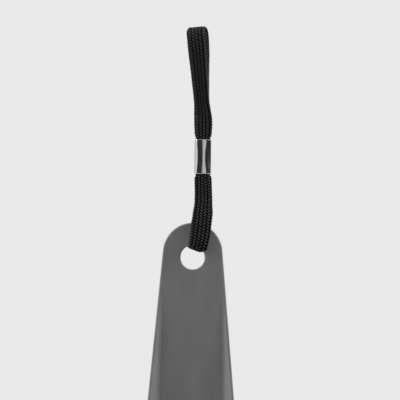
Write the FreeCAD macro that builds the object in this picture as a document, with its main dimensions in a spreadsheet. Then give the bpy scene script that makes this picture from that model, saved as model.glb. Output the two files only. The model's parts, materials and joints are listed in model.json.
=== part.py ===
"""Long shoehorn that hangs from a lanyard: a moulded plastic horn, a flat braided cord and a metal ferrule.

Millimetres, +Z up. The origin is the inside top of the cord's upper loop, where a hook carries it. The
shoehorn hangs below, its hollow side facing -Y. The cord makes a figure of eight: an upper loop for the hook
or the hand, the ferrule that clamps both runs, and a lower loop through the hole in the shoehorn's end.
"""

import FreeCAD, Part
import Sketcher
import math
import os

V = FreeCAD.Vector
X_AXIS, Z_AXIS = V(1, 0, 0), V(0, 0, 1)

doc = FreeCAD.newDocument("long_shoehorn")

# ---------------------------------------------------------------- driving dimensions
DIMENSIONS = {
    # shoehorn, seen from the front; levels are measured down from the centre of the hole
    "horn_length": 600.0,
    "hole_level": -92.6,
    "hole_diameter": 10.0,
    "hole_rim_radius": 0.5,
    "top_radius": 12.3,
    "top_centre_above_hole": 2.0,
    "flare_angle": 5.1,
    "flare_end_level": 62.0,
    "flare_easing_radius": 785.0,
    "tip_radius": 23.0,
    "edge_radius": 0.6,
    # shoehorn, channel section
    "plate_thickness": 3.0,
    "tip_thickness": 2.4,
    "crease_top": 12.7,
    "crease_shank": 14.5,
    "crease_blade": 12.0,
    "crease_radius": 1.8,
    "trough_radius": 30.0,
    "flange_angle": 40.0,
    "blank_half_width": 27.0,
    "crease_settled_level": 125.0,
    "trough_start_level": 400.0,
    "trough_full_level": 540.0,
    # shoehorn, side profile
    "bow_start_level": 40.0,
    "bow_strength": 100.0,
    "bow_crossing": 0.7693,
    # braided cord
    "cord_width": 7.6,
    "cord_thickness": 2.4,
    "hook_radius": 5.0,
    "run_convergence": 12.7,
    "runs_apart": 2.7,
    "runs_spread_over": 8.0,
    "runs_apart_on_horn": 6.4,
    "bend_length": 8.0,
    "cord_in_hole_x": 0.4,
    "cord_in_hole_rise": 1.7,
    # ferrule
    "ferrule_x": 3.7,
    "ferrule_top": -43.9,
    "ferrule_length": 14.2,
    "ferrule_width": 7.0,
    "ferrule_depth": 5.8,
    "ferrule_wall": 0.5,
    "ferrule_corner": 2.6,
    "runs_gap_in_ferrule": 0.1,
}

sheet = doc.addObject("Spreadsheet::Sheet", "dimensions")
for row, (alias, value) in enumerate(DIMENSIONS.items(), start=1):
    sheet.set(f"A{row}", alias)
    sheet.set(f"B{row}", str(value))
    sheet.setAlias(f"B{row}", alias)
doc.recompute()


def dim(alias):
    """The sheet's value under this alias."""
    return float(getattr(sheet, alias))


def bind(item, prop, formula):
    """Bind a property to the sheet; names in the formula in braces are aliases."""
    item.setExpression(prop, formula.replace("{", "dimensions.").replace("}", ""))


# ---------------------------------------------------------------- sketch helpers
START, END, CENTRE = 1, 2, 3  # which point of a sketch edge a constraint holds
ORIGIN, SKETCH_Y_AXIS = -1, -2  # a sketch's own origin point and upright axis


def line(sketch, start, end):
    return sketch.addGeometry(Part.LineSegment(V(*start, 0), V(*end, 0)), False)


def arc(sketch, centre, radius, from_deg, to_deg):
    circle = Part.Circle(V(*centre, 0), Z_AXIS, radius)
    return sketch.addGeometry(Part.ArcOfCircle(circle, math.radians(from_deg), math.radians(to_deg)), False)


def measure(sketch, constraint, formula):
    """Add a dimensional constraint and bind it to the sheet."""
    index = sketch.addConstraint(Sketcher.Constraint(*constraint))
    bind(sketch, f"Constraints[{index}]", formula)


def smooth(level, start, end):
    """0 before start, 1 after end, and an even S between them."""
    share = min(1.0, max(0.0, (level - start) / (end - start)))
    return share * share * (3.0 - 2.0 * share)


def mix(a, b, share):
    return a + (b - a) * share


# ---------------------------------------------------------------- shoehorn
HOLE_LEVEL = dim("hole_level")
TIP_DEPTH = dim("horn_length") - dim("top_radius") - dim("top_centre_above_hole")
STATIONS = 19  # levels that the channel is lofted through
LOFT_ABOVE_HOLE, LOFT_PAST_TIP = 25.0, 12.0  # the loft overshoots the outline that trims it
THROUGH = 60.0  # longer than the horn is deep, for cuts from front to back


def centre_surface_y(depth):
    """The long S of the side view: straight at the hole, bowed back, then curved forward at the blade."""
    start = dim("bow_start_level")
    share = max(0.0, (depth - start) / (TIP_DEPTH - start))
    return dim("bow_strength") * share * share * (dim("bow_crossing") - share)


def channel_section(depth):
    """One level of the channel as a closed wire: a flat web, and on each side a round and a flange."""
    trough = smooth(depth, dim("trough_start_level"), dim("trough_full_level"))
    settled = min(1.0, max(0.0, depth / dim("crease_settled_level")))
    crease = mix(mix(dim("crease_top"), dim("crease_shank"), settled), dim("crease_blade"), trough)
    radius = mix(dim("crease_radius"), dim("trough_radius"), trough)
    thickness = mix(dim("plate_thickness"), dim("tip_thickness"), trough)
    angle = math.radians(dim("flange_angle"))
    reach = (dim("blank_half_width") - crease) / math.cos(angle)
    y = centre_surface_y(depth)
    z = HOLE_LEVEL - depth

    def side(offset, corner_radius):
        """Right half of one face, outwards: the web's end, the round's middle and end, the flange's end."""
        corner = crease + offset * math.tan(angle / 2)
        tangent = corner_radius * math.tan(angle / 2)
        level = y + offset - thickness / 2
        web_end = (corner - tangent, level)
        round_mid = (
            corner - tangent + corner_radius * math.sin(angle / 2),
            level - corner_radius * (1 - math.cos(angle / 2)),
        )
        round_end = (corner + tangent * math.cos(angle), level - tangent * math.sin(angle))
        flange_end = (
            crease + offset * math.sin(angle) + reach * math.cos(angle),
            level - offset * (1 - math.cos(angle)) - reach * math.sin(angle),
        )
        return web_end, round_mid, round_end, flange_end

    def at(point, mirrored=False):
        return V(-point[0] if mirrored else point[0], point[1], z)

    hollow, back = side(0.0, radius), side(thickness, radius + thickness)
    edges = []
    for face in (hollow, back):
        for mirrored in (True, False):
            web_end, round_mid, round_end, flange_end = (at(point, mirrored) for point in face)
            edges.append(Part.Arc(web_end, round_mid, round_end).toShape())
            edges.append(Part.LineSegment(round_end, flange_end).toShape())
        edges.append(Part.LineSegment(at(face[0], True), at(face[0])).toShape())
    edges += [Part.LineSegment(at(hollow[3], m), at(back[3], m)).toShape() for m in (True, False)]
    return Part.Wire(Part.__sortEdges__(edges))


def make_channel():
    """The channel before it is trimmed to its outline: a loft through evenly spaced levels."""
    sections = []
    for n in range(STATIONS):
        depth = mix(-LOFT_ABOVE_HOLE, TIP_DEPTH + LOFT_PAST_TIP, n / (STATIONS - 1))
        section = doc.addObject("Part::Feature", f"channel_section_{n:02d}")
        section.Shape = channel_section(depth)
        sections.append(section)
    channel = doc.addObject("Part::Loft", "channel")
    channel.Sections = sections
    channel.Solid = True
    channel.Ruled = False
    return channel


def make_outline():
    """The front view's outline, pushed through the channel from front to back.

    A round top, a straight flare, a large easing arc, a nearly parallel shank and a round tip, each tangent
    to the next. The sketch's own origin is the centre of the hole.
    """
    flare = math.radians(dim("flare_angle"))
    top_r, tip_r, easing_r = dim("top_radius"), dim("tip_radius"), dim("flare_easing_radius")
    top_y, tip_y, flare_end_y = dim("top_centre_above_hole"), tip_r - TIP_DEPTH, -dim("flare_end_level")
    leave_top = (top_r * math.cos(flare), top_y + top_r * math.sin(flare))
    flare_end = (leave_top[0] + (leave_top[1] - flare_end_y) * math.tan(flare), flare_end_y)
    easing_centre = (flare_end[0] - easing_r * math.cos(flare), flare_end_y - easing_r * math.sin(flare))
    shank_start = (easing_centre[0] + easing_r, easing_centre[1])
    reach_tip = (tip_r, tip_y)

    def mirror(point):
        return (-point[0], point[1])

    sketch = doc.addObject("Sketcher::SketchObject", "front_outline")
    flare_deg = dim("flare_angle")
    top = arc(sketch, (0, top_y), top_r, flare_deg, 180 - flare_deg)
    tip = arc(sketch, (0, tip_y), tip_r, 180, 360)
    flare_r = line(sketch, leave_top, flare_end)
    easing_r_arc = arc(sketch, easing_centre, easing_r, 0, flare_deg)
    shank_r = line(sketch, shank_start, reach_tip)
    flare_l = line(sketch, mirror(leave_top), mirror(flare_end))
    easing_l_arc = arc(sketch, mirror(easing_centre), easing_r, 180 - flare_deg, 180)
    shank_l = line(sketch, mirror(shank_start), mirror(reach_tip))

    for joint in (
        (top, START, flare_r, START), (flare_r, END, easing_r_arc, END),
        (easing_r_arc, START, shank_r, START), (shank_r, END, tip, END),
        (top, END, flare_l, START), (flare_l, END, easing_l_arc, START),
        (easing_l_arc, END, shank_l, START), (shank_l, END, tip, START),
    ):
        sketch.addConstraint(Sketcher.Constraint("Tangent", *joint))
    sketch.addConstraint(Sketcher.Constraint("PointOnObject", top, CENTRE, SKETCH_Y_AXIS))
    sketch.addConstraint(Sketcher.Constraint("PointOnObject", tip, CENTRE, SKETCH_Y_AXIS))
    sketch.addConstraint(Sketcher.Constraint("Symmetric", flare_r, END, flare_l, END, SKETCH_Y_AXIS))
    sketch.addConstraint(Sketcher.Constraint("Equal", easing_r_arc, easing_l_arc))
    measure(sketch, ("Radius", top, top_r), "{top_radius}")
    measure(sketch, ("Radius", tip, tip_r), "{tip_radius}")
    measure(sketch, ("Radius", easing_r_arc, easing_r), "{flare_easing_radius}")
    measure(sketch, ("DistanceY", ORIGIN, START, top, CENTRE, top_y), "{top_centre_above_hole}")
    measure(sketch, ("DistanceY", tip, CENTRE, ORIGIN, START, -tip_y),
            "{horn_length} - {top_radius} - {top_centre_above_hole} - {tip_radius}")
    measure(sketch, ("DistanceY", flare_r, END, ORIGIN, START, -flare_end_y), "{flare_end_level}")
    measure(sketch, ("Angle", flare_r, flare - math.pi / 2), "({flare_angle} - 90) * 1 deg")
    sketch.Placement = FreeCAD.Placement(V(0, 0, HOLE_LEVEL), FreeCAD.Rotation(X_AXIS, 90))
    bind(sketch, "Placement.Base.z", "{hole_level}")
    return sketch


def borders_channel(edge, shape):
    """True for an edge between a cut face, flat or cylindrical, and one of the channel's own lofted faces."""
    kinds = {face.Surface.TypeId for face in shape.ancestorsOfType(edge, Part.Face)}
    return len(kinds) == 2 and "Part::GeomBSplineSurface" in kinds


def on_hole(edge):
    """True for an edge of the hole's rim."""
    reach = dim("hole_diameter") / 2 + 0.01
    return all(math.hypot(v.Point.x, v.Point.z - HOLE_LEVEL) < reach for v in edge.Vertexes)


def make_shoehorn():
    """The channel trimmed to the outline and pierced, with every cut edge rounded."""
    prism = doc.addObject("Part::Extrusion", "outline_prism")
    prism.Base = make_outline()
    prism.DirMode = "Normal"
    prism.Solid = True
    prism.LengthFwd = THROUGH
    prism.LengthRev = THROUGH
    trimmed = doc.addObject("Part::Common", "trimmed_channel")
    trimmed.Base, trimmed.Tool = make_channel(), prism
    hole = doc.addObject("Part::Cylinder", "hole")
    bind(hole, "Radius", "{hole_diameter} / 2")
    hole.Height = 2 * THROUGH
    hole.Placement = FreeCAD.Placement(V(0, THROUGH, HOLE_LEVEL), FreeCAD.Rotation(X_AXIS, 90))
    bind(hole, "Placement.Base.z", "{hole_level}")
    pierced = doc.addObject("Part::Cut", "pierced_channel")
    pierced.Base, pierced.Tool = trimmed, hole
    doc.recompute()

    rounds = []
    for index, edge in enumerate(pierced.Shape.Edges, start=1):
        if borders_channel(edge, pierced.Shape):
            radius = dim("hole_rim_radius") if on_hole(edge) else dim("edge_radius")
            rounds.append((index, radius, radius))
    horn = doc.addObject("Part::Fillet", "shoehorn")
    horn.Base = pierced
    horn.Edges = rounds
    return horn


# ---------------------------------------------------------------- ferrule and the runs it clamps
FERRULE_TOP = dim("ferrule_top")
FERRULE_BOTTOM = FERRULE_TOP - dim("ferrule_length")


def rounded_box(name, inset="0"):
    """An upright prism over the ferrule's length: its outside, or that less an inset, which is a formula."""
    sketch = doc.addObject("Sketcher::SketchObject", name + "_section")
    half_w, half_d, r = dim("ferrule_width") / 2, dim("ferrule_depth") / 2, dim("ferrule_corner")
    across, deep = half_w - r, half_d - r
    corners = [(across, deep), (-across, deep), (-across, -deep), (across, -deep)]
    rounds = [arc(sketch, corners[n], r, 90 * n, 90 * n + 90) for n in range(4)]
    sides = [
        line(sketch, (across, half_d), (-across, half_d)),
        line(sketch, (-half_w, deep), (-half_w, -deep)),
        line(sketch, (-across, -half_d), (across, -half_d)),
        line(sketch, (half_w, -deep), (half_w, deep)),
    ]
    for n in range(4):
        sketch.addConstraint(Sketcher.Constraint("Tangent", rounds[n], END, sides[n], START))
        sketch.addConstraint(Sketcher.Constraint("Tangent", sides[n], END, rounds[(n + 1) % 4], START))
        if n:
            sketch.addConstraint(Sketcher.Constraint("Equal", rounds[0], rounds[n]))
    sketch.addConstraint(Sketcher.Constraint("Horizontal", sides[0]))
    sketch.addConstraint(Sketcher.Constraint("Vertical", sides[1]))
    opposite = (rounds[2], CENTRE, rounds[0], CENTRE)
    sketch.addConstraint(Sketcher.Constraint("Symmetric", *opposite, ORIGIN, START))
    measure(sketch, ("Radius", rounds[0], r), f"{{ferrule_corner}} - {inset}")
    measure(sketch, ("DistanceX", *opposite, 2 * across), "{ferrule_width} - 2 * {ferrule_corner}")
    measure(sketch, ("DistanceY", *opposite, 2 * deep), "{ferrule_depth} - 2 * {ferrule_corner}")
    sketch.Placement = FreeCAD.Placement(V(dim("ferrule_x"), 0, FERRULE_BOTTOM), FreeCAD.Rotation())
    bind(sketch, "Placement.Base.x", "{ferrule_x}")
    bind(sketch, "Placement.Base.z", "{ferrule_top} - {ferrule_length}")
    prism = doc.addObject("Part::Extrusion", name)
    prism.Base = sketch
    prism.DirMode = "Normal"
    prism.Solid = True
    bind(prism, "LengthFwd", "{ferrule_length}")
    return prism


def make_ferrule(cavity):
    """An oval tube, its outer end edges eased."""
    outside = rounded_box("ferrule_outside")
    tube = doc.addObject("Part::Cut", "ferrule_tube")
    tube.Base, tube.Tool = outside, cavity
    doc.recompute()
    wide = dim("ferrule_width") - dim("ferrule_wall")
    deep = dim("ferrule_depth") - dim("ferrule_wall")

    def outer_end(edge):
        middle = edge.CenterOfMass
        level = abs(middle.z - FERRULE_TOP) < 0.01 or abs(middle.z - FERRULE_BOTTOM) < 0.01
        x, y = abs(middle.x - dim("ferrule_x")) / wide, abs(middle.y) / deep
        return level and edge.BoundBox.ZLength < 0.01 and max(x, y, math.hypot(x, y) / 1.05) > 0.5

    ferrule = doc.addObject("Part::Fillet", "ferrule")
    ferrule.Base = tube
    easing = dim("ferrule_wall") / 2
    edges = enumerate(tube.Shape.Edges, start=1)
    ferrule.Edges = [(n, easing, easing) for n, edge in edges if outer_end(edge)]
    return ferrule


def make_clamped_runs(cavity):
    """The two runs of cord squeezed together in the ferrule: each fills its half of the tube."""
    halves = []
    width, depth, overlap = 20.0, 10.0, 10.0  # each block is larger than its half of the tube
    for name, side in (("front", -1), ("rear", 1)):
        block = doc.addObject("Part::Box", f"clamped_{name}_half")
        block.Length, block.Width, block.Height = width, depth, dim("ferrule_length") + 2 * overlap
        corner = V(dim("ferrule_x") - width / 2, 0, FERRULE_BOTTOM - overlap)
        block.Placement = FreeCAD.Placement(corner, FreeCAD.Rotation())
        gap = "{runs_gap_in_ferrule} / 2"
        bind(block, "Placement.Base.y", gap if side == 1 else f"-{depth} - {gap}")
        half = doc.addObject("Part::Common", f"clamped_{name}_run")
        half.Base, half.Tool = cavity, block
        halves.append(half)
    runs = doc.addObject("Part::Compound", "cord_in_ferrule")
    runs.Links = halves
    return runs


# ---------------------------------------------------------------- free cord
ARC_SHARE = 0.45  # how much of the shorter run beside a corner its arc takes
STRAIGHT_AT_BEND = 3.0  # each loop starts and ends with its runs side by side


def cord_section(name, at, along, across):
    """The flat cord's section, a slot, with its width along `across` and its thickness square to that."""
    sketch = doc.addObject("Sketcher::SketchObject", name)
    r = dim("cord_thickness") / 2
    half = dim("cord_width") / 2 - r
    right = arc(sketch, (half, 0), r, -90, 90)
    left = arc(sketch, (-half, 0), r, 90, 270)
    upper = line(sketch, (half, r), (-half, r))
    lower = line(sketch, (-half, -r), (half, -r))
    for joint in (
        (right, END, upper, START), (upper, END, left, START),
        (left, END, lower, START), (lower, END, right, START),
    ):
        sketch.addConstraint(Sketcher.Constraint("Tangent", *joint))
    sketch.addConstraint(Sketcher.Constraint("Horizontal", upper))
    sketch.addConstraint(Sketcher.Constraint("Symmetric", right, CENTRE, left, CENTRE, ORIGIN, START))
    measure(sketch, ("Radius", right, r), "{cord_thickness} / 2")
    measure(sketch, ("DistanceX", left, CENTRE, right, CENTRE, 2 * half), "{cord_width} - {cord_thickness}")
    sketch.Placement = FreeCAD.Placement(at, FreeCAD.Rotation(across, along.cross(across), along, "ZXY"))
    return sketch


def rounded_route(points):
    """Straight runs joined by tangent arcs, each as large as its two runs allow: the edges and the radii."""
    edges, radii, last = [], [], points[0]
    for before, corner, after in zip(points, points[1:], points[2:]):
        back, ahead = (before - corner), (after - corner)
        shorter = min(back.Length, ahead.Length)
        half_turn = (math.pi - back.getAngle(ahead)) / 2
        cut = ARC_SHARE * shorter
        radius = cut / math.tan(half_turn)
        start, end = corner + back.normalize() * cut, corner + ahead.normalize() * cut
        inward = (back + ahead).normalize()
        middle = corner + inward * (radius / math.cos(half_turn) - radius)
        edges += [Part.LineSegment(last, start).toShape(), Part.Arc(start, middle, end).toShape()]
        radii.append(radius)
        last = end
    edges.append(Part.LineSegment(last, points[-1]).toShape())
    return edges, radii


def make_cord_loop(name, points):
    """One loop of the flat cord, swept along its route. The route's plane is square to the cord's width."""
    edges, radii = rounded_route(points)
    spine = doc.addObject("Part::Feature", name + "_route")
    spine.Shape = Part.Wire(edges)
    along = (points[1] - points[0]).normalize()
    section = cord_section(name + "_section", points[0], along, loop_normal(points))
    loop = doc.addObject("Part::Sweep", name)
    loop.Sections = [section]
    loop.Spine = (spine, [])
    loop.Solid = True
    loop.Frenet = False
    doc.recompute()
    r = dim("cord_thickness") / 2
    area = math.pi * r * r + 2 * r * (dim("cord_width") - 2 * r)
    length = spine.Shape.Length
    print(f"{name}: length {length:.2f}, arc radii {[round(x, 2) for x in radii]}, "
          f"volume / (section x length) {loop.Shape.Volume / (area * length):.4f}")
    return loop


def loop_normal(points):
    """The direction of the cord's width: square to the plane of the loop, towards +X."""
    normal = (points[1] - points[0]).cross(points[-1] - points[0])
    return normal.normalize() if normal.x > 0 else -normal.normalize()


def make_bend(name, upper_end, lower_end):
    """The limp stretch between a loop and the ferrule: both runs, each from one section to the next."""
    runs = []
    for number, side in enumerate((-1, 1)):
        ends = []
        for place, (point, along, across) in (("upper", upper_end), ("lower", lower_end)):
            centre = V(point.x, side * dim("runs_apart") / 2, point.z)
            ends.append(cord_section(f"{name}_{place}_{number}", centre, along, across))
        run = doc.addObject("Part::Loft", f"{name}_run_{number}")
        run.Sections = ends
        run.Solid = True
        run.Ruled = True
        runs.append(run)
    bend = doc.addObject("Part::Compound", name)
    bend.Links = runs
    return bend


def upper_loop_points():
    """Up one run, over the hook and down the other. The loop leans from the hook to the ferrule.

    Four points share the turn over the hook, so that each arc has the radius of the cord's middle there.
    """
    top = dim("cord_thickness") / 2
    end = FERRULE_TOP + dim("bend_length")
    near = dim("runs_apart") / 2
    half_turn = math.radians(180 + 2 * dim("run_convergence")) / 8
    run = (dim("hook_radius") + dim("cord_thickness") / 2) * math.tan(half_turn) / ARC_SHARE
    hook_centre = top - run / 2 / math.tan(half_turn)
    out = run / 2 / math.sin(half_turn)

    def at(y, z):
        return V(dim("ferrule_x") * (top - z) / (top - end), y, z)

    front = [at(-near, end), at(-near, end + STRAIGHT_AT_BEND)]
    front += [at(-out * math.sin(n * half_turn), hook_centre + out * math.cos(n * half_turn)) for n in (3, 1)]
    return front + [V(p.x, -p.y, p.z) for p in reversed(front)]


def lower_loop_points():
    """Down one run, through the hole and up the other. The runs pass the horn's end one on each face."""
    start = FERRULE_BOTTOM - dim("bend_length")
    hole = HOLE_LEVEL + dim("cord_in_hole_rise")
    near, wide = dim("runs_apart") / 2, dim("runs_apart_on_horn") / 2

    def at(y, z):
        return V(mix(dim("ferrule_x"), dim("cord_in_hole_x"), (start - z) / (start - hole)), y, z)

    front = [
        at(-near, start), at(-near, start - STRAIGHT_AT_BEND),
        at(-wide, start - STRAIGHT_AT_BEND - dim("runs_spread_over")), at(-wide, hole),
    ]
    return front + [V(p.x, -p.y, p.z) for p in reversed(front)]


# ---------------------------------------------------------------- the parts, and their files
shoehorn = make_shoehorn()
cavity = rounded_box("ferrule_cavity", "{ferrule_wall}")
ferrule = make_ferrule(cavity)
clamped_runs = make_clamped_runs(cavity)

upper_points, lower_points = upper_loop_points(), lower_loop_points()
upper_loop = make_cord_loop("cord_upper_loop", upper_points)
lower_loop = make_cord_loop("cord_lower_loop", lower_points)
upper_along = (upper_points[1] - upper_points[0]).normalize()
lower_along = (lower_points[0] - lower_points[1]).normalize()
upper_bend = make_bend(
    "cord_bend_above_ferrule",
    (upper_points[0], upper_along, loop_normal(upper_points)),
    (V(dim("ferrule_x"), 0, FERRULE_TOP), Z_AXIS, X_AXIS),
)
lower_bend = make_bend(
    "cord_bend_below_ferrule",
    (V(dim("ferrule_x"), 0, FERRULE_BOTTOM), Z_AXIS, X_AXIS),
    (lower_points[0], lower_along, loop_normal(lower_points)),
)
doc.recompute()

PARTS = [shoehorn, upper_loop, upper_bend, ferrule, clamped_runs, lower_bend, lower_loop]
for item in doc.Objects:
    if "Invalid" in item.State or "Error" in item.State:
        raise SystemExit(f"{item.Name} failed: {item.State}")
os.makedirs("parts", exist_ok=True)
for item in PARTS:
    item.Label = item.Name
    shape = item.Shape
    if shape.isNull() or not shape.isValid() or not shape.Solids:
        raise SystemExit(f"{item.Name} has no valid solid")
    middle = shape.CenterOfGravity if shape.ShapeType == "Solid" else shape.Solids[0].CenterOfGravity
    print(f"{item.Label}: {len(shape.Solids)} solid(s), {shape.Volume:.1f} mm3, centre y {middle.y:.3f}")
    shape.exportStep(f"parts/{item.Label}.step")
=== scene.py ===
import json
import math

import bpy
import numpy as np
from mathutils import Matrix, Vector


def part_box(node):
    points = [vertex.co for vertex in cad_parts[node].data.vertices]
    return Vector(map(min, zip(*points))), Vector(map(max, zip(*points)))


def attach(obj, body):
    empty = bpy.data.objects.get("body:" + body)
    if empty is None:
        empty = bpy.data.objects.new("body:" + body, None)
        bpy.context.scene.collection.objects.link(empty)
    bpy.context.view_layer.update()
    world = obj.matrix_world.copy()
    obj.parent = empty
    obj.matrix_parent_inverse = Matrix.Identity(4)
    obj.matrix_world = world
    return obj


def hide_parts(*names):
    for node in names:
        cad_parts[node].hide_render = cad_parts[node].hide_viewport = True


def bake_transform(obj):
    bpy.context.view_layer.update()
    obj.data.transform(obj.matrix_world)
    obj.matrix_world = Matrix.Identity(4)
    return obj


# A long plastic shoehorn hanging from a flat braided lanyard with a crimped metal ferrule. Metres, +Z up.
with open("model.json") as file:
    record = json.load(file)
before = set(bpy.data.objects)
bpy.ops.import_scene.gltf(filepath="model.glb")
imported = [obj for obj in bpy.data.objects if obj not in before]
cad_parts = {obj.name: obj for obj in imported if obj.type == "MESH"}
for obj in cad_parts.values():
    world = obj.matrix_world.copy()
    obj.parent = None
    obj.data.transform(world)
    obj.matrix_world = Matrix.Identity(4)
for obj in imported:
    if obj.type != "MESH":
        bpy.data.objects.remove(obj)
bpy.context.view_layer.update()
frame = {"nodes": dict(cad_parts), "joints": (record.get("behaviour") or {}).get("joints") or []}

MM = 0.001
SEED = 12
scene = bpy.context.scene
scene.view_settings.view_transform = "Standard"
noise_source = np.random.RandomState(SEED)


# ---------------------------------------------------------------- small helpers
def smoothstep(value, start, end):
    """0 at start, 1 at end, an even S between them; start may be the larger."""
    share = np.clip((value - start) / (end - start), 0.0, 1.0)
    return share * share * (3.0 - 2.0 * share)


def profile(place, knots):
    """A smooth curve through (place, value) knots, which are in rising order of place."""
    value = np.full_like(place, knots[0][1])
    for (a, low), (b, high) in zip(knots, knots[1:]):
        value = value + (high - low) * smoothstep(place, a, b)
    return value


def unit(vectors):
    return vectors / np.linalg.norm(vectors, axis=-1, keepdims=True)


def new_object(name, data):
    piece = bpy.data.objects.new(name, data)
    scene.collection.objects.link(piece)
    return piece


def mesh_piece(name, vertices, faces):
    mesh = bpy.data.meshes.new(name)
    mesh.from_pydata(vertices.tolist(), [], faces)
    mesh.polygons.foreach_set("use_smooth", [True] * len(mesh.polygons))
    mesh.update()
    return new_object(name, mesh)


# ---------------------------------------------------------------- camera
HOLE_Z = next(joint["pos_m"][2] for joint in frame["joints"] if joint["name"] == "horn_swing")
FRAME_WIDTH, LENS, SENSOR = 165.2 * MM, 120.0, 36.0  # the width seen at the shoehorn; lens and sensor in mm
CAMERA_X, CAMERA_ABOVE_HOLE = 2.77 * MM, 23.74 * MM
CAMERA_ROLL = math.radians(-0.69)

camera_data = bpy.data.cameras.new("camera")
camera_data.lens, camera_data.sensor_width = LENS, SENSOR
camera = new_object("camera", camera_data)
camera.location = (CAMERA_X, -FRAME_WIDTH * LENS / SENSOR, HOLE_Z + CAMERA_ABOVE_HOLE)
camera.rotation_euler = (math.pi / 2, CAMERA_ROLL, 0)
scene.camera = camera

# ---------------------------------------------------------------- cord routes
# The cord's two loops in millimetres. Each starts just inside a mouth of the ferrule, goes along the front run
# and comes back along the rear run.
UPPER_ROUTE = (
    (3.7, -1.35, -45.4), (3.8, -1.35, -35.9), (3.45, -1.35, -32.9), (0.35, -7.45, -3.97), (-0.1, -3.31, 1.3),
    (1.6, 3.31, 1.8), (2.4, 7.45, -3.97), (3.1, 1.35, -32.9), (3.9, 1.35, -35.9), (3.7, 1.35, -45.4),
)
LOWER_ROUTE = (
    (3.75, -1.35, -56.6), (4.15, -1.35, -66.1), (4.15, -1.45, -69.1), (3.6, -3.35, -77.1), (2.3, -3.4, -89.1),
    (0.2, 3.15, -89.1), (4.2, 3.2, -77.1), (4.3, 1.45, -69.1), (4.1, 1.35, -66.1), (3.75, 1.35, -56.6),
)


def read_route(name, route, step):
    """Points an even step apart along a NURBS spline through the route, and how far along it each one is."""
    curve = bpy.data.curves.new(name + "_route", "CURVE")
    curve.dimensions = "3D"
    curve.resolution_u = 64
    spline = curve.splines.new("NURBS")
    spline.points.add(len(route) - 1)
    for control, point in zip(spline.points, route):
        control.co = (*[value * MM for value in point], 1.0)
    spline.order_u = 3
    spline.use_endpoint_u = True
    holder = new_object(name + "_route", curve)
    bpy.context.view_layer.update()
    mesh = bpy.data.meshes.new_from_object(holder)
    line = np.array([vertex.co[:] for vertex in mesh.vertices])
    bpy.data.objects.remove(holder)
    bpy.data.meshes.remove(mesh)
    reach = np.concatenate([[0.0], np.cumsum(np.linalg.norm(np.diff(line, axis=0), axis=1))])
    even = np.linspace(0.0, reach[-1], int(round(reach[-1] / step)) + 1)
    return np.column_stack([np.interp(even, reach, line[:, axis]) for axis in range(3)]), even


# ---------------------------------------------------------------- braid
CORD_WIDTH, CORD_THICKNESS = 7.6 * MM, 2.4 * MM
STRANDS = 10  # each way round; an even number, so that over two and under two closes round the braid
LAY = 11.5 * MM  # how far along the cord a strand takes to go once round it
STRAND_WIDTH, STRAND_THICKNESS = 0.84 * MM, 0.62 * MM
WAVE = 0.30 * MM  # how far a strand rises and sinks as it goes over and under
STRAND_SIDES = 6
STEP = LAY / (2 * STRANDS) / 4  # a quarter of a strand's crossing
WALL = WAVE + STRAND_THICKNESS / 2  # from the middle of the braid's wall to its outside
THINNEST = 0.5 * MM  # least thickness between the middles of the walls
WANDER = 0.03  # how far strands stray sideways, as a share of their spacing
SWELL = (0.05, 0.04)  # how much strands thicken and thin, over a long and a short wave
CORE_POINTS, CORE_WIDTH, CORE_THICKNESS = 16, 0.96, 0.8  # the filling, as shares of the walls' middles


def slot_outline(turn, width, thickness):
    """Across and through coordinates and the outward normal, by the share of the way round a slot's outline."""
    radius, half = thickness / 2, (width - thickness) / 2
    bend = math.pi * radius
    place = (turn % 1.0) * (4 * half + 2 * bend)
    pieces = (half, bend, 2 * half, bend, half)
    starts = np.cumsum([np.zeros_like(radius), *pieces[:-1]], axis=0)
    right = np.clip(place - starts[1], 0, bend) / radius - math.pi / 2
    left = np.clip(place - starts[3], 0, bend) / radius + math.pi / 2
    conditions = [place < starts[1], place < starts[2], place < starts[3], place < starts[4]]
    across = np.select(
        conditions,
        [place, half + radius * np.cos(right), half - (place - starts[2]), -half + radius * np.cos(left)],
        -half + (place - starts[4]),
    )
    through = np.select(conditions, [-radius, radius * np.sin(right), radius, radius * np.sin(left)], -radius)
    upright = np.zeros_like(place)
    normal_across = np.select(conditions, [upright, np.cos(right), upright, np.cos(left)], upright)
    level = np.ones_like(place)
    normal_through = np.select(conditions, [-level, np.sin(right), level, np.sin(left)], -level)
    return across, through, normal_across, normal_through


def cord_directions(line, lean, twist):
    """At each point of a cord's line: along it, across its width and through its thickness."""
    along = unit(np.gradient(line, axis=0))
    wanted = np.column_stack([np.cos(lean) * np.cos(twist), np.sin(twist), -np.sin(lean)])
    across = unit(wanted - along * np.sum(along * wanted, axis=1, keepdims=True))
    return along, across, np.cross(along, across)


def ring_tube(centre, side, out, half_side, half_out, sides):
    """The rings of a tube with an elliptical section, as an array of points by ring and place round it."""
    angle = np.arange(sides) * 2 * math.pi / sides
    return (
        centre[:, None, :]
        + side[:, None, :] * (np.cos(angle)[None, :, None] * half_side[:, None, None])
        + out[:, None, :] * (np.sin(angle)[None, :, None] * half_out[:, None, None])
    )


def tube_faces(rings, sides, first):
    """Quads between the rings and a cap at each end, with (around, along) coordinates for each corner."""
    faces, corners = [], []
    for ring in range(rings - 1):
        low, high = first + ring * sides, first + (ring + 1) * sides
        for k in range(sides):
            n = (k + 1) % sides
            faces.append((low + k, low + n, high + n, high + k))
            corners += [(k, ring), (k + 1, ring), (k + 1, ring + 1), (k, ring + 1)]
    last = first + (rings - 1) * sides
    faces.append(tuple(first + k for k in reversed(range(sides))))
    faces.append(tuple(last + k for k in range(sides)))
    corners += [(k, 0) for k in reversed(range(sides))] + [(k, rings - 1) for k in range(sides)]
    return faces, corners


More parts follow.
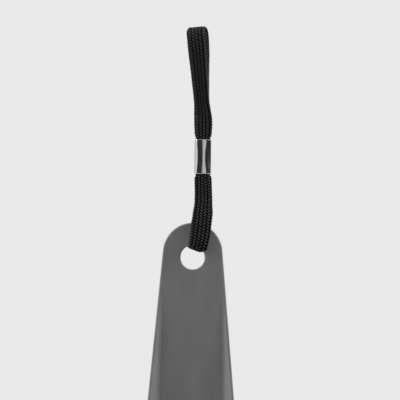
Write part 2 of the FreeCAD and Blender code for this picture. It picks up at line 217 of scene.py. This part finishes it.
def braided_cord(name, line, reach, shape):
    """A flat tubular braid along a line: two families of strands, each over two and under two of the other.

    shape holds, at each point of the line, the cord's width and thickness, its lean and twist, and how far the
    section bows (arch) and thins towards its edges (taper).
    """
    _, across_dir, through_dir = cord_directions(line, shape["lean"], shape["twist"])
    width = shape["width"] - 2 * WALL
    thickness = np.maximum(shape["thickness"] - 2 * WALL, THINNEST)
    full = 2 * (CORD_WIDTH - 2 * WALL) + (math.pi - 2) * (CORD_THICKNESS - 2 * WALL)
    crowding = (2 * width + (math.pi - 2) * thickness) / full

    def surface(turn):
        a, b, na, nb = slot_outline(turn, width, thickness)
        q = a / (width / 2)
        slope = -2 * shape["arch"] * q / (width / 2)
        b = b * (1 - shape["taper"] * q * q) + shape["arch"] * (1 - q * q)
        normal = unit(across_dir * (na - slope * nb)[:, None] + through_dir * nb[:, None])
        return line + across_dir * a[:, None] + through_dir * b[:, None], normal

    vertices, faces, corners, painted_light_levels = [], [], [], []
    for family in (1, -1):
        for number in range(STRANDS):
            phases = noise_source.uniform(0, 2 * math.pi, 4)
            waves = [np.sin(reach / (scale * MM) + phase) for scale, phase in zip((4.1, 1.7, 2.3, 0.9), phases)]
            wander = WANDER / (2 * STRANDS) * (waves[0] + waves[1])
            swell = 1 + SWELL[0] * waves[2] + SWELL[1] * waves[3]
            turn = number / STRANDS + family * reach / LAY + wander
            centre, normal = surface(turn)
            column = 2 * STRANDS * turn
            rise = WAVE * np.cos(2 * math.pi * (column - (0.5 if family == 1 else 2.5)) / 4)
            centre = centre + normal * rise[:, None]
            run = unit(np.gradient(centre, axis=0))
            side = unit(np.cross(run, normal))
            out = np.cross(side, run)
            rings = ring_tube(
                centre, side, out, STRAND_WIDTH / 2 * swell * np.sqrt(crowding),
                np.full(len(line), STRAND_THICKNESS / 2), STRAND_SIDES,
            )
            strand_faces, strand_corners = tube_faces(len(line), STRAND_SIDES, sum(len(v) for v in vertices))
            vertices.append(rings.reshape(-1, 3))
            faces += strand_faces
            corners += strand_corners
            # Painted light level per vertex: higher on a strand's crest and outer side (painted highlight), lower in
            # the hollows and on its inner side (painted shade).
            round_strand = np.arange(STRAND_SIDES) * 2 * math.pi / STRAND_SIDES
            height = rise[:, None] / WAVE + np.sin(round_strand)[None, :]  # -2 deep inside, 2 at a crest
            painted_light_levels.append((0.5 + 0.25 * height).ravel())
    core = np.stack([
        line + across_dir * a[:, None] + through_dir * b[:, None]
        for a, b in core_outline(width, thickness, shape)
    ], axis=1)
    core_faces, core_corners = tube_faces(len(line), core.shape[1], sum(len(v) for v in vertices))
    vertices.append(core.reshape(-1, 3))
    faces += core_faces
    corners += core_corners
    # The core takes level 0, the deepest painted shade.
    painted_light_levels.append(np.zeros(len(vertices[-1])))

    piece = mesh_piece(name, np.concatenate(vertices), faces)
    layer = piece.data.uv_layers.new(name="strand")
    uv = np.array(corners, float) * (1 / STRAND_SIDES, STEP / MM)
    layer.data.foreach_set("uv", uv.ravel())
    # A point attribute carries the painted light level to the yarn's colour.
    painted_light = piece.data.attributes.new("painted_light", "FLOAT", "POINT")
    painted_light.data.foreach_set("value", np.concatenate(painted_light_levels))
    return piece


def core_outline(width, thickness, shape):
    """The dark filling inside the braid, black yarn in the deepest painted shade, a little smaller than the strands'
    middle surface.
    """
    for n in range(CORE_POINTS):
        turn = np.full(len(width), n / CORE_POINTS)
        a, b, _, _ = slot_outline(turn, width * CORE_WIDTH, thickness * CORE_THICKNESS)
        q = a / (width / 2)
        yield a, b * (1 - shape["taper"] * q * q) + shape["arch"] * (1 - q * q)


def upper_shape(line):
    """The hanging loop: full width at the top, bunched lower down, and squeezed where the ferrule takes it."""
    z = line[:, 2] / MM
    widths = [
        (-45.4, 5.7), (-43.4, 6.3), (-41.5, 7.4), (-37.5, 7.8), (-27.0, 6.6), (-19.0, 6.9), (-6.0, 7.6),
    ]
    return {
        "width": MM * profile(z, widths),
        "thickness": MM * profile(z, [(-45.4, 2.25), (-41.0, 2.45), (-25.0, 2.6), (-6.0, 2.3)]),
        "lean": np.radians(profile(z, [(-10.0, 0.0), (1.0, -6.0)])),
        "twist": np.zeros_like(z),
        "arch": MM * profile(z, [(-45.4, -0.35), (-39.0, 0.0), (-27.0, 0.55), (-18.0, 0.45), (-6.0, 0.0)]),
        "taper": np.zeros_like(z),
    }


def lower_shape(line):
    """The loop through the horn: spread against the horn's faces, and gathered thin where it fills the hole."""
    y, z = line[:, 1] / MM, line[:, 2] / MM
    in_hole = smoothstep(np.abs(y), 2.4, 1.1) * smoothstep(z, -84.0, -87.0)
    width = profile(z, [
        (-88.0, 8.2), (-80.0, 8.8), (-75.0, 8.3), (-70.0, 7.6), (-63.0, 7.4), (-60.0, 7.4), (-58.6, 6.4), (-56.6, 5.7),
    ])
    thickness = profile(z, [(-86.0, 1.95), (-70.0, 2.4), (-56.6, 2.25)])
    return {
        "width": MM * (width + (6.1 - width) * in_hole),
        "thickness": MM * (thickness + (1.75 - thickness) * in_hole),
        "lean": np.radians(20.0) * smoothstep(z, -70.0, -87.0),
        "twist": np.zeros_like(z),
        "arch": MM * profile(z, [(-62.0, 0.0), (-56.6, 0.35)]),
        "taper": 0.45 * in_hole,
    }


def make_loop(name, route, shape, nodes):
    """One loop of the cord as one piece, which turns smoothly at the limp stretch beside the ferrule."""
    line, reach = read_route(name, route, STEP)
    piece = braided_cord(name, line, reach, shape(line))
    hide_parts(*nodes)
    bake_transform(piece)
    tuple(line[0])
    return piece


upper_loop = make_loop(
    "braided_hanging_loop", UPPER_ROUTE, upper_shape, ["cord_upper_loop", "cord_bend_above_ferrule"],
)
lower_loop = make_loop(
    "braided_lower_loop", LOWER_ROUTE, lower_shape, ["cord_lower_loop", "cord_bend_below_ferrule"],
)


# ---------------------------------------------------------------- ferrule
AROUND, ALONG, EDGE_STEPS = 192, 29, 5  # points round the tube, along it, and round a quarter of its edge
FERRULE_WALL = 0.5 * MM
EDGE = 0.24 * MM  # rounding of the tube's ends
SQUARENESS = (2.0, 0.5)  # the section's power in the middle of the tube, and how much it grows to the ends
WAIST = 0.025  # how much shallower the middle is
SEAM_DEPTH, SEAM_SPREAD = 0.16 * MM, 0.045  # the spread is in radians


def make_ferrule(name):
    """A crimped oval tube: squarer at its ends, rounder and a little waisted between, with a seam at its back."""
    low, high = (np.array(corner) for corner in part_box("ferrule"))
    centre, (width, depth, length) = (low + high) / 2, high - low
    wall = FERRULE_WALL
    climb = np.linspace(low[2] + EDGE, high[2] - EDGE, ALONG)
    over = np.linspace(0, math.pi / 2, EDGE_STEPS)[1:]
    rim_out = [(EDGE - EDGE * math.cos(a), EDGE * math.sin(a)) for a in over]
    rim_in = [(wall - EDGE + EDGE * math.sin(a), EDGE * math.cos(a)) for a in over]
    outline = [(0.0, z) for z in climb]
    outline += [(inset, high[2] - EDGE + rise) for inset, rise in rim_out + rim_in]
    outline += [(wall, z) for z in climb[::-1][1:]]
    outline += [(wall - inset, low[2] + EDGE - rise) for inset, rise in (rim_out + rim_in)[:-1]]
    angle = np.linspace(0, 2 * math.pi, AROUND, endpoint=False)
    seam = np.exp(-((angle - math.pi / 2) / SEAM_SPREAD) ** 2) * SEAM_DEPTH
    vertices = []
    for inset, z in outline:
        height = (z - centre[2]) / (length / 2)
        square = SQUARENESS[0] + SQUARENESS[1] * smoothstep(abs(height), 0.2, 0.9)
        waist = 1 - WAIST * (1 - height * height)
        c, s = np.cos(angle), np.sin(angle)
        x = np.sign(c) * np.abs(c) ** (2 / square) * (width / 2 - inset)
        y = np.sign(s) * np.abs(s) ** (2 / square) * (depth / 2 * waist - inset)
        groove = seam * (1 if inset < wall / 2 else 0)
        vertices.append(np.column_stack([centre[0] + x, y - groove * np.sign(y), np.full(AROUND, z)]))
    rings = len(outline)
    faces = []
    for ring in range(rings):
        here, there = ring * AROUND, ((ring + 1) % rings) * AROUND
        for k in range(AROUND):
            n = (k + 1) % AROUND
            faces.append((here + k, here + n, there + n, there + k))
    return mesh_piece(name, np.concatenate(vertices), faces)


ferrule = make_ferrule("crimped_ferrule")
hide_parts("ferrule")
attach(ferrule, "clamp")


# ---------------------------------------------------------------- materials
def node_material(name):
    """An empty node material with its Principled shader, and a helper that adds a linked node."""
    material = bpy.data.materials.new(name)
    material.use_nodes = True
    nodes, links = material.node_tree.nodes, material.node_tree.links
    nodes.clear()
    output, shader = nodes.new("ShaderNodeOutputMaterial"), nodes.new("ShaderNodeBsdfPrincipled")
    links.new(shader.outputs["BSDF"], output.inputs["Surface"])
    return material, nodes, links, shader


def add(nodes, links, kind, inputs=None, **settings):
    """A node with its settings; each input is a value or another node's output."""
    node = nodes.new(kind)
    for key, value in settings.items():
        setattr(node, key, value)
    for key, value in (inputs or {}).items():
        if isinstance(value, bpy.types.NodeSocket):
            links.new(value, node.inputs[key])
        else:
            node.inputs[key].default_value = value
    return node


def ramp(nodes, links, factor, stops):
    """A colour ramp from (place, grey) stops."""
    node = add(nodes, links, "ShaderNodeValToRGB", {"Fac": factor})
    elements = node.color_ramp.elements
    while len(elements) < len(stops):
        elements.new(0.5)
    for element, (place, grey) in zip(elements, stops):
        element.position, element.color = place, (grey, grey, grey, 1)
    return node.outputs["Color"]


def add_bump(nodes, links, shader, height, strength, depth):
    bump = add(nodes, links, "ShaderNodeBump", {"Height": height, "Strength": strength, "Distance": depth})
    links.new(bump.outputs["Normal"], shader.inputs["Normal"])


def horn_plastic():
    """Satin grey moulded plastic: a fine grain, and a faint mottling along the flow that also dulls it a little."""
    material, nodes, links, shader = node_material("horn_plastic")
    place = add(nodes, links, "ShaderNodeTexCoord").outputs["Object"]
    flow = add(nodes, links, "ShaderNodeMapping", {"Vector": place, "Scale": (1.0, 1.0, 0.3)}).outputs["Vector"]
    mottle = add(nodes, links, "ShaderNodeTexNoise", {
        "Vector": flow, "Scale": 160.0, "Detail": 4.0, "Roughness": 0.6,
    }).outputs["Fac"]
    grain = add(nodes, links, "ShaderNodeTexNoise", {"Vector": place, "Scale": 2600.0, "Detail": 2.0}).outputs["Fac"]
    links.new(ramp(nodes, links, mottle, [(0.3, 0.214), (0.7, 0.250)]), shader.inputs["Base Color"])
    links.new(ramp(nodes, links, mottle, [(0.3, 0.40), (0.7, 0.47)]), shader.inputs["Roughness"])
    add_bump(nodes, links, shader, grain, 0.1, 0.05 * MM)
    shader.inputs["IOR"].default_value = 1.5
    return material


def braid_yarn():
    """Black textured yarn with filaments wound round each strand; painted light makes it greyer on crests and outer
    sides (painted highlight) and near black deeper in (painted shade).
    """
    material, nodes, links, shader = node_material("cord_braid")
    uv = add(nodes, links, "ShaderNodeUVMap", uv_map="strand").outputs["UV"]
    wound = add(nodes, links, "ShaderNodeMapping", {
        "Vector": uv, "Scale": (14.0, 5.0, 1.0), "Rotation": (0, 0, 0.5),
    }).outputs["Vector"]
    filaments = add(nodes, links, "ShaderNodeTexNoise", {"Vector": wound, "Scale": 1.0, "Detail": 3.0}).outputs["Fac"]
    painted_light = add(nodes, links, "ShaderNodeAttribute", attribute_name="painted_light").outputs["Fac"]
    filaments_and_painted_light = add(nodes, links, "ShaderNodeMath", {0: filaments, 1: 0.22, 2: painted_light}, operation="MULTIPLY_ADD")
    # Painted light in the colour: crests light grey as a painted highlight, hollows and core near black as painted
    # shade.
    tone = ramp(nodes, links, filaments_and_painted_light.outputs["Value"], [(0.84, 0.0002), (0.96, 0.0008), (1.0, 0.060)])
    links.new(tone, shader.inputs["Base Color"])
    links.new(ramp(nodes, links, filaments, [(0.3, 0.50), (0.7, 0.72)]), shader.inputs["Roughness"])
    add_bump(nodes, links, shader, filaments, 0.5, 0.06 * MM)
    shader.inputs["Specular IOR Level"].default_value = 0.06
    return material


def ferrule_metal():
    """Bright nickel plate with faint drawing lines along the tube."""
    material, nodes, links, shader = node_material("ferrule_metal")
    place = add(nodes, links, "ShaderNodeTexCoord").outputs["Object"]
    drawn = add(nodes, links, "ShaderNodeMapping", {"Vector": place, "Scale": (1.0, 1.0, 0.04)}).outputs["Vector"]
    lines = add(nodes, links, "ShaderNodeTexNoise", {"Vector": drawn, "Scale": 2500.0, "Detail": 3.0}).outputs["Fac"]
    links.new(ramp(nodes, links, lines, [(0.3, 0.70), (0.7, 0.78)]), shader.inputs["Base Color"])
    links.new(ramp(nodes, links, lines, [(0.3, 0.08), (0.7, 0.16)]), shader.inputs["Roughness"])
    shader.inputs["Metallic"].default_value = 1.0
    add_bump(nodes, links, shader, lines, 0.08, 0.03 * MM)
    return material


def set_material(piece, material):
    if not piece.material_slots:
        piece.data.materials.append(material)
    for slot in piece.material_slots:
        slot.material = material


plastic, yarn, metal = horn_plastic(), braid_yarn(), ferrule_metal()
set_material(frame["nodes"]["shoehorn"], plastic)
set_material(ferrule, metal)
for piece in (upper_loop, lower_loop, frame["nodes"]["cord_in_ferrule"]):
    set_material(piece, yarn)

# ---------------------------------------------------------------- floor and light
FLOOR_Z, FLOOR_SIZE = -0.70, 6.0
FLOOR_FADE = (0.4, 1.7)  # distances from the origin at which the floor starts and ends fading
FLOOR_GREY, BACKDROP_GREY = 0.64, 0.82
# The tent at eye level, by angle from the front in degrees, rightwards: strips that the ferrule reflects.
EYE_LEVEL_STOPS = (
    (-150, 0.85), (-132, 0.45), (-112, 0.50), (-98, 0.85), (-68, 0.70), (-62, 0.035), (-3, 0.035), (1, 0.58),
    (22, 0.58), (27, 0.03), (125, 0.03), (145, 0.75),
)
TENT_GREY, SIDE_GREY, ROOF_GREY, FRONT_GREY = 0.60, 1.7, 1.15, 0.08
SOFT_BOX_PLACE, SOFT_BOX_SIZE, SOFT_BOX_POWER = (1.10, -0.10, 0.45), 0.32, 9.5
LANYARD_MIDDLE = (0, 0, -0.1)


def grey(value):
    return (value, value, value, 1)


def make_floor():
    """A pale floor below the tip, which fades into the background away from the shoehorn."""
    half = FLOOR_SIZE / 2
    corners = np.array([(x * half, y * half, FLOOR_Z) for x, y in ((-1, -1), (1, -1), (1, 1), (-1, 1))])
    floor = mesh_piece("floor", corners, [(0, 1, 2, 3)])
    material, nodes, links, shader = node_material("pale_floor")
    shader.inputs["Base Color"].default_value = grey(FLOOR_GREY)
    shader.inputs["Roughness"].default_value = 0.9
    place = add(nodes, links, "ShaderNodeTexCoord").outputs["Object"]
    radius = add(nodes, links, "ShaderNodeVectorMath", {0: place}, operation="LENGTH").outputs["Value"]
    fade = add(nodes, links, "ShaderNodeMapRange", {
        "Value": radius, "From Min": FLOOR_FADE[0], "From Max": FLOOR_FADE[1],
    })
    clear = add(nodes, links, "ShaderNodeBsdfTransparent")
    mixed = add(nodes, links, "ShaderNodeMixShader", {
        0: fade.outputs["Result"], 1: shader.outputs["BSDF"], 2: clear.outputs["BSDF"],
    })
    links.new(mixed.outputs["Shader"], nodes["Material Output"].inputs["Surface"])
    set_material(floor, material)


def make_surroundings():
    """A light tent, dark in front and brightest at its sides, with its own strips at eye level; the lens sees grey."""
    world = bpy.data.worlds.new("light_tent")
    scene.world = world
    world.use_nodes = True
    nodes, links = world.node_tree.nodes, world.node_tree.links
    nodes.clear()

    def maths(operation, *values):
        return add(nodes, links, "ShaderNodeMath", dict(enumerate(values)), operation=operation).outputs["Value"]

    def remap(value, start, end):
        inputs = {"Value": value, "From Min": start, "From Max": end}
        return add(nodes, links, "ShaderNodeMapRange", inputs).outputs["Result"]

    def blend(share, a, b):
        node = add(nodes, links, "ShaderNodeMix", {0: share, 6: a, 7: b}, data_type="RGBA")
        return node.outputs[2]

    direction = add(nodes, links, "ShaderNodeTexCoord").outputs["Generated"]
    parts = add(nodes, links, "ShaderNodeSeparateXYZ", {"Vector": direction}).outputs
    toward = maths("MULTIPLY", parts["Y"], -1.0)
    azimuth = remap(maths("ARCTAN2", parts["X"], toward), -math.pi, math.pi)
    eye_level = ramp(nodes, links, azimuth, [((angle + 180) / 360, value) for angle, value in EYE_LEVEL_STOPS])
    walls = blend(remap(maths("ABSOLUTE", parts["X"]), 0.55, 0.85), grey(TENT_GREY), grey(SIDE_GREY))
    roofed = blend(remap(parts["Z"], 0.45, 0.80), walls, grey(ROOF_GREY))
    tent = blend(remap(toward, 0.40, 0.70), roofed, grey(FRONT_GREY))
    light = blend(remap(maths("ABSOLUTE", parts["Z"]), 0.2, 0.40), eye_level, tent)
    seen = add(nodes, links, "ShaderNodeLightPath").outputs["Is Camera Ray"]
    colour = blend(seen, light, grey(BACKDROP_GREY))
    background = add(nodes, links, "ShaderNodeBackground", {"Color": colour, "Strength": 1.0})
    output = nodes.new("ShaderNodeOutputWorld")
    links.new(background.outputs["Background"], output.inputs["Surface"])


def soft_box(name, side):
    """A square light aimed at the lanyard, on the left where side is -1 and on the right where it is 1."""
    light = bpy.data.lights.new(name, "AREA")
    light.size, light.energy = SOFT_BOX_SIZE, SOFT_BOX_POWER
    box = new_object(name, light)
    x, y, z = SOFT_BOX_PLACE
    box.location = (side * x, y, z)
    box.rotation_euler = (Vector(LANYARD_MIDDLE) - box.location).to_track_quat("-Z", "Y").to_euler()


make_floor()
make_surroundings()
soft_box("left_light", -1)
soft_box("right_light", 1)
